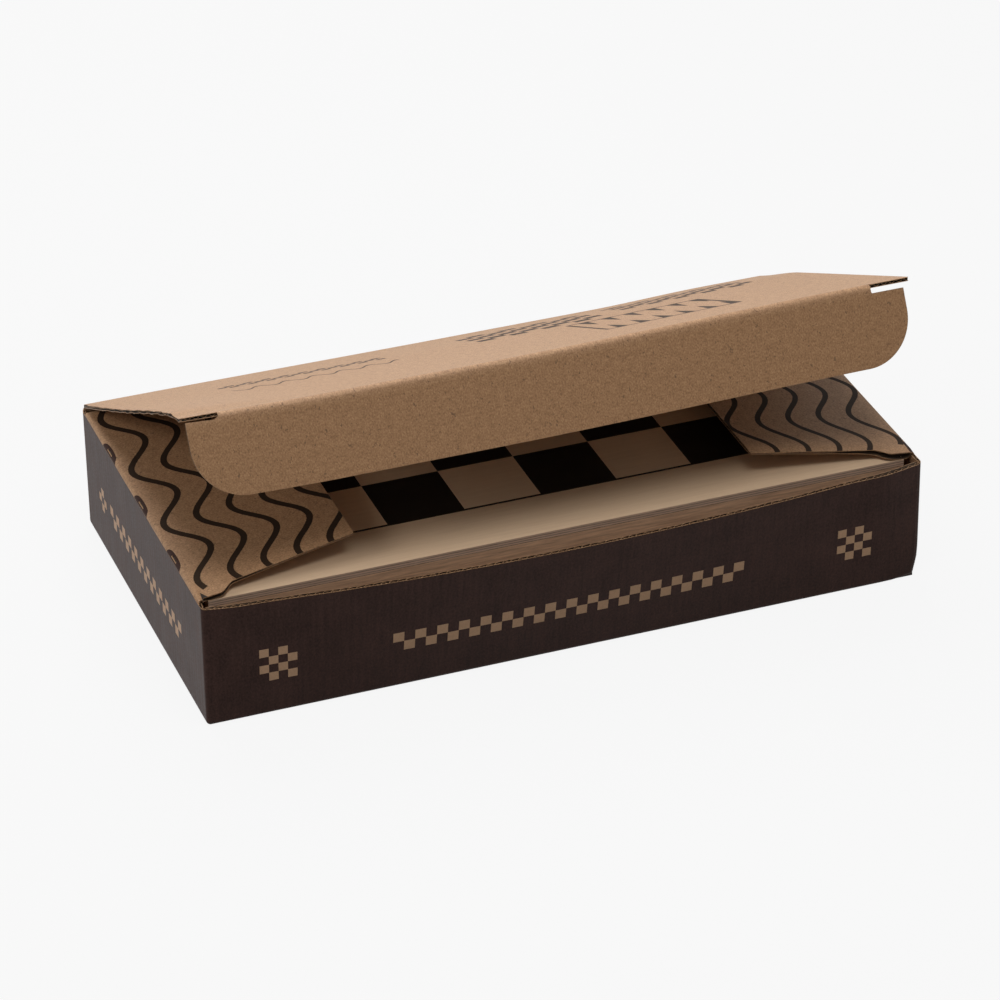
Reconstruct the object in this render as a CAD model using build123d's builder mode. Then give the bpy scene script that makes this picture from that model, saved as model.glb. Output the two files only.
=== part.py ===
from build123d import *
import math
import os

os.makedirs("parts", exist_ok=True)

# A tuck-top carton of corrugated board, standing half open, with a folded wooden
# game case inside. The origin is the centre of the underside, +X to the right,
# +Y to the back and +Z up. Lengths are in millimetres and angles in degrees.

# Carton
carton_w = 310.0  # outside, left to right
carton_d = 170.0  # outside, front to back
board_t = 1.6  # thickness of the corrugated board
side_wall_h = 54.8  # upper edge of the two side walls
front_rise = 0.4  # raw upper edge of the front wall, above the side walls
front_bow = 10.8  # how far the middle of that edge has bowed outwards
foot_bow = 0.05  # bow left at the foot, where the wall is held by its crease
end_step_w = 7.0  # the front wall's edge is cut lower at its two ends
end_step_h = 1.3
corner_r = 1.2  # outside radius of the upright creases and of those along the foot

# Clearances
crease_gap = 0.2  # between a rounded crease and the edges beside it
seat_gap = 0.1  # between boards that lie flat together
shut_gap = 0.3  # between shut flaps, and between a shut flap and the case

# Short slits along the crease of the left dust flap
slit_len = 7.0
slit_w = 0.8
slit_in = 0.3  # from the middle of the crease inwards
slit_count = 3
slit_pitch = 45.5
slit_mid_y = -1.3  # middle of the row

# Dust flaps, measured inwards from their crease
dust_len = 69.0
dust_rest = 7.0  # how far the flaps have sprung up
dust_rear_inset = 5.0  # from the back of the carton to the flap, at the crease
dust_rear_taper = 19.0  # how much further forward that edge is at the tip
dust_shoulder_w = 9.5  # full width beside the crease, at the front
dust_step_run = 6.5  # the curved step behind the shoulder
dust_step = 4.2
dust_front_taper = 6.3  # from the step to the tip
dust_tip_r = 2.5

# Lid and tuck flap
lid_open = 25.2  # lid above level
lid_side_gap = 0.6  # the lid is this much short of the carton at each side
lid_corner_r = 1.8
lid_lip = 0.6  # lid past the fold, over each lock slot
tuck_fold = 94.0  # angle inside the front fold
tuck_h = 33.0
tuck_side_gap = 0.4
tuck_corner_r = 21.0
slot_len = 15.8  # lock slot at each end of the front fold
slot_h = 3.0
slot_slant = 1.8

# Base of four flaps
base_split_y = -8.0  # joint between the front and rear flaps, beside the tongue
tongue_half_w = 48.0
tongue_slant = 12.0
tongue_l = 22.0
base_side_l = 68.0
base_side_taper = 16.0

# Glue flap inside the right wall
glue_flap_w = 24.0
glue_flap_taper = 4.0
glue_flap_drop = 4.0  # below the upper edge of the side wall

# Wooden case, folded shut, with its clearances inside the carton
case_front_gap = 5.4  # from the front wall's foot to the case
case_rear_gap = 2.2
case_side_gap = 1.7  # beside the glue flap, and as much from the same line at the left
case_top_gap = 1.1  # below the upper edge of the side walls
ply_t = 3.0
rail_t = 8.0

# Butt hinges at the back of the case
hinge_x = 85.0
hinge_w = 30.0
leaf_l = 7.0
leaf_t = 0.9
knuckle_r = 1.8
knuckle_out = 0.2  # knuckle axis behind the rails
knuckle_end_w = 8.0
pin_r = 0.8
hinge_fit = 0.05

# Values that follow from the ones above
front_wall_h = side_wall_h + front_rise
half_w = carton_w / 2
front_y = -carton_d / 2
rear_y = carton_d / 2
bead_r = board_t / 2
dust_axis_x = half_w - bead_r
dust_axis_z = side_wall_h + crease_gap + bead_r
lid_axis_y = rear_y - bead_r
lid_axis_z = dust_axis_z + bead_r + shut_gap + bead_r
rear_wall_h = lid_axis_z - bead_r - crease_gap
slit_ys = [slit_mid_y + (i - (slit_count - 1) / 2) * slit_pitch for i in range(slit_count)]
case_w = carton_w - 2 * (2 * board_t + seat_gap + case_side_gap)
case_front_y = front_y + board_t + case_front_gap
case_rear_y = rear_y - board_t - case_rear_gap
case_d = case_rear_y - case_front_y
case_foot_z = 2 * (board_t + seat_gap)
half_h = (side_wall_h - case_top_gap - case_foot_z - seat_gap) / 2
parting_z = case_foot_z + half_h + seat_gap / 2
tuck_axis_y = case_front_y - shut_gap - bead_r
lid_reach = lid_axis_y - tuck_axis_y
lid_half_w = half_w - lid_side_gap
tuck_half_w = half_w - board_t - tuck_side_gap
slot_x = tuck_half_w - slot_len
lid_edge_y = -(lid_reach - bead_r - crease_gap)
lid_lip_y = -(lid_reach + lid_lip)


def upright_plane(x, y, z, lean):
    # Plane across the carton whose outer face looks up and back by the lean
    turn = math.radians(lean)
    return Plane(origin=(x, y, z), x_dir=(1, 0, 0), z_dir=(0, math.sin(turn), math.cos(turn)))


def crossways_bead(y, z, half_length):
    # Rounded crease along X
    with BuildPart() as bead:
        with BuildSketch(Plane.YZ.offset(-half_length)):
            with Locations((y, z)):
                Circle(bead_r)
        extrude(amount=2 * half_length)
    return bead.part


# Front wall: straight at the foot, bowed at the raw upper edge
with BuildPart() as front_wall:
    for level, bow in ((0.0, foot_bow), (front_wall_h, front_bow)):
        with BuildSketch(Plane.XY.offset(level)):
            with BuildLine():
                outer = ThreePointArc((-half_w, front_y), (0, front_y - bow), (half_w, front_y))
                Line(outer @ 1, (half_w, front_y + board_t))
                inner = ThreePointArc(
                    (half_w, front_y + board_t),
                    (0, front_y + board_t - bow),
                    (-half_w, front_y + board_t),
                )
                Line(inner @ 1, outer @ 0)
            make_face()
    loft(ruled=True)
    upright = front_wall.edges().filter_by_position(Axis.Z, 0.4 * front_wall_h, 0.6 * front_wall_h)
    foot = front_wall.edges().group_by(Axis.Z)[0].sort_by(Axis.Y)[:-1]
    fillet(upright.group_by(Axis.Y)[0] + foot, corner_r)
    with BuildSketch(Plane.XY.offset(front_wall_h - end_step_h)):
        with Locations((half_w, front_y), (-half_w, front_y)):
            Rectangle(2 * end_step_w, 6 * board_t)
    extrude(amount=2 * end_step_h, mode=Mode.SUBTRACT)

front_wall.part.label = "front_wall"
export_step(front_wall.part, "parts/front_wall.step")

# Rear wall
with BuildPart() as rear_wall:
    with BuildSketch():
        with Locations((0, rear_y - bead_r)):
            Rectangle(carton_w, board_t)
    extrude(amount=rear_wall_h)
    upright = rear_wall.edges().filter_by(Axis.Z).group_by(Axis.Y)[-1]
    foot = rear_wall.edges().group_by(Axis.Z)[0].sort_by(Axis.Y)[1:]
    fillet(upright + foot, corner_r)

rear_wall.part.label = "rear_wall"
export_step(rear_wall.part, "parts/rear_wall.step")


def side_wall(side):
    # Wall between the front and rear walls, rounded along its foot
    with BuildPart() as wall:
        with BuildSketch():
            with Locations((side * (half_w - bead_r), 0)):
                Rectangle(board_t, carton_d - 2 * board_t)
        extrude(amount=side_wall_h)
        foot = wall.edges().group_by(Axis.Z)[0].filter_by(Axis.Y).sort_by(Axis.X)
        fillet(foot[-1] if side > 0 else foot[0], corner_r)
    return wall.part


for side, name in ((-1, "left_wall"), (1, "right_wall")):
    wall_part = side_wall(side)
    wall_part.label = name
    export_step(wall_part, "parts/" + name + ".step")

# Glue flap: folded from the rear wall and glued to the inside of the right wall
with BuildPart() as glue_flap:
    glue_top = side_wall_h - glue_flap_drop
    glue_rear = rear_y - board_t
    glue_foot = case_foot_z + glue_flap_drop
    with BuildSketch(Plane.YZ.offset(half_w - 2 * board_t - seat_gap)):
        with BuildLine():
            Polyline(
                (glue_rear, glue_foot),
                (glue_rear, glue_top),
                (glue_rear - glue_flap_w, glue_top - glue_flap_taper),
                (glue_rear - glue_flap_w, glue_foot + glue_flap_taper),
                close=True,
            )
        make_face()
    extrude(amount=board_t)

glue_flap.part.label = "glue_flap"
export_step(glue_flap.part, "parts/glue_flap.step")

# Base: the front flap has a tongue that fits the notch of the rear flap
base_half_w = half_w - board_t - seat_gap
base_front = front_y + board_t + seat_gap
base_rear = rear_y - board_t - seat_gap

with BuildPart() as base_front_flap:
    with BuildSketch():
        with BuildLine():
            Polyline(
                (-base_half_w, base_front),
                (base_half_w, base_front),
                (base_half_w, base_split_y),
                (tongue_half_w + tongue_slant, base_split_y),
                (tongue_half_w, base_split_y + tongue_l),
                (-tongue_half_w, base_split_y + tongue_l),
                (-tongue_half_w - tongue_slant, base_split_y),
                (-base_half_w, base_split_y),
                close=True,
            )
        make_face()
    extrude(amount=board_t)

base_front_flap.part.label = "base_front_flap"
export_step(base_front_flap.part, "parts/base_front_flap.step")

with BuildPart() as base_rear_flap:
    notch_y = base_split_y + shut_gap
    with BuildSketch():
        with BuildLine():
            Polyline(
                (-base_half_w, base_rear),
                (base_half_w, base_rear),
                (base_half_w, notch_y),
                (tongue_half_w + tongue_slant + shut_gap, notch_y),
                (tongue_half_w + shut_gap, notch_y + tongue_l),
                (-tongue_half_w - shut_gap, notch_y + tongue_l),
                (-tongue_half_w - tongue_slant - shut_gap, notch_y),
                (-base_half_w, notch_y),
                close=True,
            )
        make_face()
    extrude(amount=board_t)

base_rear_flap.part.label = "base_rear_flap"
export_step(base_rear_flap.part, "parts/base_rear_flap.step")


def base_side_flap(side):
    # Inner layer of the base, tapering from the side wall inwards
    reach = base_half_w - base_side_l
    wide = base_rear
    narrow = base_rear - base_side_taper
    with BuildPart() as flap:
        with BuildSketch(Plane.XY.offset(board_t + seat_gap)):
            with BuildLine():
                Polyline(
                    (side * base_half_w, -wide),
                    (side * base_half_w, wide),
                    (side * reach, narrow),
                    (side * reach, -narrow),
                    close=True,
                )
            make_face()
        extrude(amount=board_t)
    return flap.part


for side, name in ((-1, "base_left_flap"), (1, "base_right_flap")):
    base_flap = base_side_flap(side)
    base_flap.label = name
    export_step(base_flap, "parts/" + name + ".step")


def dust_flap(side, slits):
    # Flap folded inwards from a side wall: the outline runs inwards along local X
    # and the flap turns about its crease, the local Y axis
    turn = math.radians(dust_rest)
    crease = Plane(
        origin=(side * dust_axis_x, 0, dust_axis_z),
        x_dir=(-side * math.cos(turn), 0, math.sin(turn)),
        z_dir=(side * math.sin(turn), 0, math.cos(turn)),
    )
    shoulder_y = case_front_y
    step_y = shoulder_y + dust_step
    step_x = dust_shoulder_w + dust_step_run
    back_y = rear_y - dust_rear_inset
    with BuildPart() as flap:
        with BuildSketch(crease) as outline:
            with BuildLine():
                shoulder = Line((0, -side * shoulder_y), (dust_shoulder_w, -side * shoulder_y))
                step = Bezier(
                    shoulder @ 1,
                    (dust_shoulder_w + dust_step_run / 2, -side * shoulder_y),
                    (dust_shoulder_w + dust_step_run / 2, -side * step_y),
                    (step_x, -side * step_y),
                )
                Polyline(
                    step @ 1,
                    (dust_len, -side * (step_y + dust_front_taper)),
                    (dust_len, -side * (back_y - dust_rear_taper)),
                    (0, -side * back_y),
                    shoulder @ 0,
                )
            make_face()
            fillet(outline.vertices().group_by(Axis.X)[-1], dust_tip_r)
        extrude(amount=bead_r, both=True)
        with BuildSketch(Plane.XZ.offset(-back_y)):
            with Locations((side * dust_axis_x, dust_axis_z)):
                Circle(bead_r)
        extrude(amount=back_y - shoulder_y)
        if slits:
            with BuildSketch(crease):
                with Locations(*[(slit_in, -side * y) for y in slit_ys]):
                    SlotOverall(slit_len, slit_w, rotation=90)
            extrude(amount=2 * board_t, both=True, mode=Mode.SUBTRACT)
    return flap.part


for side, name in ((-1, "left_dust_flap"), (1, "right_dust_flap")):
    flap_part = dust_flap(side, side < 0)
    flap_part.label = name
    export_step(flap_part, "parts/" + name + ".step")

# Lid, tilted up about its crease on the rear wall
lid_plane = upright_plane(0, lid_axis_y, lid_axis_z, lid_open)

with BuildPart() as lid_panel:
    with BuildSketch(lid_plane) as lid_outline:
        with BuildLine():
            Polyline(
                (-lid_half_w, 0),
                (-lid_half_w, lid_lip_y),
                (-slot_x, lid_lip_y),
                (-slot_x, lid_edge_y),
                (slot_x, lid_edge_y),
                (slot_x, lid_lip_y),
                (lid_half_w, lid_lip_y),
                (lid_half_w, 0),
                close=True,
            )
        make_face()
        fillet(lid_outline.vertices().group_by(Axis.Y)[0].sort_by(Axis.X)[0::3], lid_corner_r)
    extrude(amount=bead_r, both=True)
    add(crossways_bead(lid_axis_y, lid_axis_z, lid_half_w))

lid_panel.part.label = "lid_panel"
export_step(lid_panel.part, "parts/lid_panel.step")

# Tuck flap, hanging from the lid's front fold, with a lock slot at each end
fold_turn = math.radians(lid_open)
fold_y = lid_axis_y - lid_reach * math.cos(fold_turn)
fold_z = lid_axis_z + lid_reach * math.sin(fold_turn)
tuck_plane = upright_plane(0, fold_y, fold_z, lid_open + tuck_fold - 180)
bead_half = slot_x - crease_gap
fold_clear = math.hypot(lid_lip, bead_r) + crease_gap

with BuildPart() as tuck_flap:
    with BuildSketch(tuck_plane) as tuck_outline:
        with BuildLine():
            Polyline(
                (-bead_half, 0),
                (-bead_half, -fold_clear),
                (-bead_half - slot_slant, -slot_h),
                (-tuck_half_w, -slot_h),
                (-tuck_half_w, -tuck_h),
                (tuck_half_w, -tuck_h),
                (tuck_half_w, -slot_h),
                (bead_half + slot_slant, -slot_h),
                (bead_half, -fold_clear),
                (bead_half, 0),
                close=True,
            )
        make_face()
        fillet(tuck_outline.vertices().group_by(Axis.Y)[0], tuck_corner_r)
    extrude(amount=bead_r, both=True)
    add(crossways_bead(fold_y, fold_z, bead_half))

tuck_flap.part.label = "tuck_flap"
export_step(tuck_flap.part, "parts/tuck_flap.step")


def case_board(level):
    # Plywood face of one half of the case
    with BuildPart() as board:
        with BuildSketch(Plane.XY.offset(level)):
            with Locations((0, (case_front_y + case_rear_y) / 2)):
                Rectangle(case_w, case_d)
        extrude(amount=ply_t)
    return board.part


def case_rail(level, y, hinged):
    # Rail along the front or the back of one half
    with BuildPart() as rail:
        with BuildSketch(Plane.XY.offset(level)):
            with Locations((0, y)):
                Rectangle(case_w, rail_t)
        extrude(amount=half_h - ply_t)
        if hinged:
            add(hinge_recess(), mode=Mode.SUBTRACT)
    return rail.part


def hinge_recess():
    # Room for the leaves between the rails and for the knuckles behind them
    with BuildPart() as recess:
        with BuildSketch(Plane.YZ.offset(-hinge_x - hinge_w / 2 - hinge_fit)):
            with Locations((case_rear_y + knuckle_out, parting_z)):
                Circle(knuckle_r + 2 * hinge_fit)
            with Locations((case_rear_y - leaf_l / 2, parting_z)):
                Rectangle(leaf_l + 2 * hinge_fit, 2 * (leaf_t + 2 * hinge_fit))
        extrude(amount=hinge_w + 2 * hinge_fit)
        mirror(about=Plane.YZ)
    return recess.part


def side_rails(level):
    # The two short rails between the long ones
    with BuildPart() as rails:
        with BuildSketch(Plane.XY.offset(level)):
            for side in (-1, 1):
                with Locations((side * (case_w - rail_t) / 2, (case_front_y + case_rear_y) / 2)):
                    Rectangle(rail_t, case_d - 2 * rail_t)
        extrude(amount=half_h - ply_t)
    return rails.part


lower_rail_z = case_foot_z + ply_t
upper_rail_z = parting_z + seat_gap / 2
upper_board_z = upper_rail_z + half_h - ply_t
rail_front_y = case_front_y + rail_t / 2
rail_rear_y = case_rear_y - rail_t / 2

for name, piece in (
    ("lower_board", case_board(case_foot_z)),
    ("lower_front_rail", case_rail(lower_rail_z, rail_front_y, False)),
    ("lower_rear_rail", case_rail(lower_rail_z, rail_rear_y, True)),
    ("lower_side_rails", side_rails(lower_rail_z)),
    ("upper_board", case_board(upper_board_z)),
    ("upper_front_rail", case_rail(upper_rail_z, rail_front_y, False)),
    ("upper_rear_rail", case_rail(upper_rail_z, rail_rear_y, True)),
    ("upper_side_rails", side_rails(upper_rail_z)),
):
    piece.label = name
    export_step(piece, "parts/" + name + ".step")


def hinge_leaves(spans, level):
    # Leaf with its share of the knuckle, once at each hinge place
    axis_y = case_rear_y + knuckle_out
    with BuildPart() as leaves:
        with BuildSketch(Plane.XY.offset(level)):
            with Locations((hinge_x, (case_rear_y - leaf_l + axis_y) / 2)):
                Rectangle(hinge_w, leaf_l + knuckle_out)
        extrude(amount=leaf_t)
        with BuildSketch(Plane.YZ.offset(hinge_x - hinge_w / 2)):
            with Locations((axis_y, parting_z)):
                Circle(knuckle_r + hinge_fit)
        extrude(amount=hinge_w, mode=Mode.SUBTRACT)
        for low, high in spans:
            with BuildSketch(Plane.YZ.offset(hinge_x + low)):
                with Locations((axis_y, parting_z)):
                    Circle(knuckle_r)
                    Circle(pin_r + hinge_fit, mode=Mode.SUBTRACT)
                web_z = level + leaf_t / 2
                with Locations((axis_y - knuckle_r, web_z)):
                    Rectangle(knuckle_r, leaf_t)
                with Locations((axis_y, parting_z)):
                    Circle(pin_r + hinge_fit, mode=Mode.SUBTRACT)
            extrude(amount=high - low)
        mirror(about=Plane.YZ)
    return leaves.part


end_in = hinge_w / 2 - knuckle_end_w
middle_out = end_in - 2 * hinge_fit
upper_leaves = hinge_leaves(((-hinge_w / 2, -end_in), (end_in, hinge_w / 2)), parting_z + hinge_fit)
upper_leaves.label = "upper_hinge_leaves"
export_step(upper_leaves, "parts/upper_hinge_leaves.step")

lower_leaves = hinge_leaves(((-middle_out, middle_out),), parting_z - hinge_fit - leaf_t)
lower_leaves.label = "lower_hinge_leaves"
export_step(lower_leaves, "parts/lower_hinge_leaves.step")

with BuildPart() as hinge_pins:
    with BuildSketch(Plane.YZ.offset(hinge_x - hinge_w / 2)):
        with Locations((case_rear_y + knuckle_out, parting_z)):
            Circle(pin_r)
    extrude(amount=hinge_w)
    mirror(about=Plane.YZ)

hinge_pins.part.label = "hinge_pins"
export_step(hinge_pins.part, "parts/hinge_pins.step")
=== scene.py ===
import bpy
import bmesh
import math
from mathutils import Matrix, Vector


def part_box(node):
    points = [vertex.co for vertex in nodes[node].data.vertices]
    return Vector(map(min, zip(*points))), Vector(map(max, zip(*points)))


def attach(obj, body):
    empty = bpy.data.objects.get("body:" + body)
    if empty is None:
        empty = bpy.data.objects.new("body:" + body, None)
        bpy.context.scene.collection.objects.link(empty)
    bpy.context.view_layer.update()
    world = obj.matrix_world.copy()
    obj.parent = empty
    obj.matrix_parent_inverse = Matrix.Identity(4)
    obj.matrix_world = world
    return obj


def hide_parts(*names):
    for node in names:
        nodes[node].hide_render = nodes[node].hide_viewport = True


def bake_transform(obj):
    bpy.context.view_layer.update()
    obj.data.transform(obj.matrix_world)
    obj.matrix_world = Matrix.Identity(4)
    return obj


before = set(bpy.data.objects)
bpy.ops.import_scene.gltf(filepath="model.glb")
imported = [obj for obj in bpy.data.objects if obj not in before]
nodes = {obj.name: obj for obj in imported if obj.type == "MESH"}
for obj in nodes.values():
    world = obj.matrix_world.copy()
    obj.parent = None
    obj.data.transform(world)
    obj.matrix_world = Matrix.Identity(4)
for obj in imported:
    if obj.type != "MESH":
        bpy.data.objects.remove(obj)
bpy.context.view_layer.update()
scene = bpy.context.scene

# Lengths below are in millimetres and angles in degrees, and are turned into
# metres where a mesh is written.
mm = 0.001
uvUnit = 100.0  # millimetres of sheet for one unit of its UV map

# The carton's corrugated board
board = {
    "thickness": 1.6,
    "liner": 0.24,
    "medium": 0.16,
    "flutePitch": 3.35,
    "fluteSteps": 10,  # columns of mesh for one flute
    "cell": 5.0,  # mesh size of the flat liners
    "bendCell": 0.26,  # and round a bend
    "setBack": {"outer": 0.0, "medium": 0.35, "inner": 0.1},  # of a layer at a cut edge
    "creaseLines": (-0.6, -0.45, -0.3, -0.15, 0.0, 0.15, 0.3, 0.45, 0.6, 0.9, 1.3, 2.0),
}
halfBoard = board["thickness"] / 2
fluteRise = halfBoard - board["liner"] - board["medium"] / 2

# Where the solids of the frame put the creases
carton = {
    "halfWidth": 155.0,
    "halfDepth": 85.0,
    "sideTop": 54.8,
    "rearTop": 56.7,
    "frontTop": 55.2,
    "dustAxis": (154.2, 55.8),  # x and z
    "lidAxis": (84.2, 57.7),  # y and z
    "lidOpen": 25.2,
    "lidReach": 163.3,
    "tuckFold": 94.0,
    "dustTilt": 7.0,
}


def smoothStep(low, high, value):
    t = min(max((value - low) / (high - low), 0.0), 1.0)
    return t * t * (3 - 2 * t)


def swell(u, v, amount, along, up):
    return amount * smoothStep(*along, u) * smoothStep(*up, v)


def hump(value, centre, width):
    return math.exp(-((value - centre) / width) ** 2)


def ripple(value, seed, wave):
    # Smooth unevenness along an edge, between about -1 and 1
    total = 0.0
    for octave, share in ((1.0, 0.6), (2.3, 0.3), (5.1, 0.2)):
        total += share * math.sin(value * octave * 2 * math.pi / wave + seed * (1.7 + octave))
    return total


def uneven(value, level, swing, seed, wave):
    return level + swing * ripple(value, seed, wave)


def creaseCrush(v, reach, inner, outer):
    # What a crease leaves of the thickness inwards and outwards
    near = hump(v, 0.0, reach)
    return 1 - inner * near, 1 - outer * near


def bendSizes(turned, radius):
    # What a bend takes of the straight run on each side, and the length of its arc
    return radius * math.tan(math.radians(turned / 2)), radius * math.radians(turned)


def runOn(x, y, angle, length, turn):
    # The end of a straight run or of an arc, and the direction there
    if not turn:
        return x + length * math.cos(angle), y + length * math.sin(angle), angle
    bend = length / turn
    end = angle + turn
    x += bend * (math.sin(end) - math.sin(angle))
    y -= bend * (math.cos(end) - math.cos(angle))
    return x, y, end


def foldPath(start, heading, steps):
    # A line of straight runs and arcs: each step is a length and the turn over it.
    # The answer gives the point and the direction of the line at any length.
    here = (*start, math.radians(heading))
    runs = []
    done = 0.0
    for length, turn in steps:
        turn = math.radians(turn)
        runs.append((done, length, here, turn))
        here = runOn(*here, length, turn)
        done += length

    def at(distance):
        for first, length, here, turn in reversed(runs):
            if distance >= first or first == 0.0:
                gone = distance - first
                return runOn(*here, gone, turn * gone / length)

    return at


def arcPoints(centre, radius, first, last, steps):
    points = []
    for i in range(steps + 1):
        a = math.radians(first + (last - first) * i / steps)
        points.append((centre[0] + radius * math.cos(a), centre[1] + radius * math.sin(a)))
    return points


def evenly(low, high, step):
    count = max(1, math.ceil((high - low) / step))
    return [low + (high - low) * i / count for i in range(count + 1)]


def cutSheet(loops, columns, lines):
    # Flat sheet cut to the loops, as cells between columns and lines: corners are
    # (along, up) pairs, and every cell is a list of corner numbers
    upright, hair, far = 1e-6, 2e-4, 1e9  # narrower strips than a hair are left out
    edges = []
    for loop in loops:
        for p, q in zip(loop, loop[1:] + loop[:1]):
            if abs(p[0] - q[0]) > upright:
                edges.append((p, q) if p[0] < q[0] else (q, p))
    places = [p[0] for loop in loops for p in loop]
    low, high = min(places), max(places)
    between = {round(u, 4) for u in columns if low < u < high}
    stations = sorted({round(u, 4) for u in places} | between)
    edges.sort()
    strips = []
    stops = {u: set() for u in stations}
    for left, right in zip(stations, stations[1:]):
        if right - left < hair:
            continue
        middle = (left + right) / 2
        crossed = []
        for p, q in edges:
            if p[0] > middle:
                break
            if q[0] > middle:
                slope = (q[1] - p[1]) / (q[0] - p[0])
                crossed.append((p[1] + slope * (middle - p[0]), p, slope))
        crossed.sort()
        for (_, lowFrom, lowSlope), (_, highFrom, highSlope) in zip(crossed[0::2], crossed[1::2]):
            ends = []
            for u in (left, right):
                foot = round(lowFrom[1] + lowSlope * (u - lowFrom[0]), 4)
                top = round(highFrom[1] + highSlope * (u - highFrom[0]), 4)
                ends.append((foot, max(foot, top)))
                stops[u].update((foot, max(foot, top)))
            strips.append((left, right, ends))
    grid = sorted({round(v, 4) for v in lines})
    corners = []
    number = {}

    def corner(u, v):
        if (u, v) not in number:
            number[(u, v)] = len(corners)
            corners.append((u, v))
        return number[(u, v)]

    def side(u, foot, top):
        found = {v for v in stops[u] if foot <= v <= top}
        found.update(v for v in grid if foot < v < top)
        return sorted(found)

    cells = []
    for left, right, ends in strips:
        leftSide = side(left, *ends[0])
        rightSide = side(right, *ends[1])
        shared = sorted(set(leftSide) & set(rightSide) & set(grid))
        cuts = [-far] + shared + [far]
        for foot, top in zip(cuts, cuts[1:]):
            ring = [corner(left, v) for v in reversed(leftSide) if foot <= v <= top]
            ring += [corner(right, v) for v in rightSide if foot <= v <= top]
            ring = [c for i, c in enumerate(ring) if c != ring[i - 1]]
            if len(ring) >= 3:
                cells.append(ring)
    return corners, cells


def addLayer(mesh, uvLayer, sheet, low, high, place, slots):
    # One closed layer of paper between two heights above the middle of the board
    corners, cells = sheet
    lowVerts = [mesh.verts.new(place(u, v, low(u, v))) for u, v in corners]
    highVerts = [mesh.verts.new(place(u, v, high(u, v))) for u, v in corners]
    outerSlot, cutSlot, innerSlot = slots
    used = {}
    for ring in cells:
        for a, b in zip(ring, ring[1:] + ring[:1]):
            used[(a, b)] = used.get((a, b), 0) + 1

    def face(verts, where, slot, smooth):
        made = mesh.faces.new(verts)
        made.material_index = slot
        made.smooth = smooth
        for loop, index in zip(made.loops, where):
            u, v = corners[index]
            loop[uvLayer].uv = (u / uvUnit, v / uvUnit)

    for ring in cells:
        face([highVerts[i] for i in ring], ring, outerSlot, True)
        back = ring[::-1]
        face([lowVerts[i] for i in back], back, innerSlot, True)
    for (a, b) in used:
        if (b, a) not in used:
            wall = [lowVerts[a], lowVerts[b], highVerts[b], highVerts[a]]
            face(wall, [a, b, b, a], cutSlot, False)
            for verts in (lowVerts, highVerts):
                rim = mesh.edges.get((verts[a], verts[b]))
                if rim:
                    rim.smooth = False


def makeBoard(name, outline, place, lines, mediumLines, face, crush, bends=()):
    # Corrugated board of an outer liner, a waved medium and an inner liner. outline
    # gives the loops of one layer. crush says how much of the thickness is left
    # inwards and outwards, how far the outer liner has frayed and how far the inner
    # one has come loose. bends are the places across the flutes where it turns.
    pitch = board["flutePitch"]
    liner = board["liner"]
    mesh = bmesh.new()
    uvLayer = mesh.loops.layers.uv.new("sheet")
    turns = [u for low, high in bends for u in evenly(low, high, board["bendCell"])]

    def cut(layer, rows, step):
        loops = outline(layer)
        places = [p[0] for loop in loops for p in loop]
        return cutSheet(loops, evenly(min(places), max(places), step) + turns, rows)

    heights = [p[1] for loop in outline("outer") for p in loop]
    rows = sorted(set(lines) | set(evenly(min(heights), max(heights), board["cell"])))

    def waved(side):
        def height(u, v):
            inner, outer, fray, _ = crush(u, v)
            wave = fluteRise * math.sin(2 * math.pi * u / pitch)
            return wave * (outer if wave > 0 else inner) + side * (board["medium"] + fray) / 2
        return height

    addLayer(
        mesh, uvLayer, cut("outer", rows, board["cell"]),
        lambda u, v: halfBoard * crush(u, v)[1] - liner - crush(u, v)[2],
        lambda u, v: halfBoard * crush(u, v)[1],
        place, (0, 1, 3),
    )
    addLayer(
        mesh, uvLayer, cut("inner", rows, board["cell"]),
        lambda u, v: -halfBoard * crush(u, v)[0] - crush(u, v)[3],
        lambda u, v: -halfBoard * crush(u, v)[0] - crush(u, v)[3] + liner,
        place, (3, 1, 2),
    )
    addLayer(
        mesh, uvLayer, cut("medium", mediumLines or rows, pitch / board["fluteSteps"]),
        waved(-1), waved(1),
        place, (3, 1, 3),
    )
    data = bpy.data.meshes.new(name)
    mesh.normal_update()
    mesh.to_mesh(data)
    mesh.free()
    for material in (face, kraftCut, kraftInside, kraftFlutePaintedShade):
        data.materials.append(material)
    piece = bpy.data.objects.new(name, data)
    scene.collection.objects.link(piece)
    return piece


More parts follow.
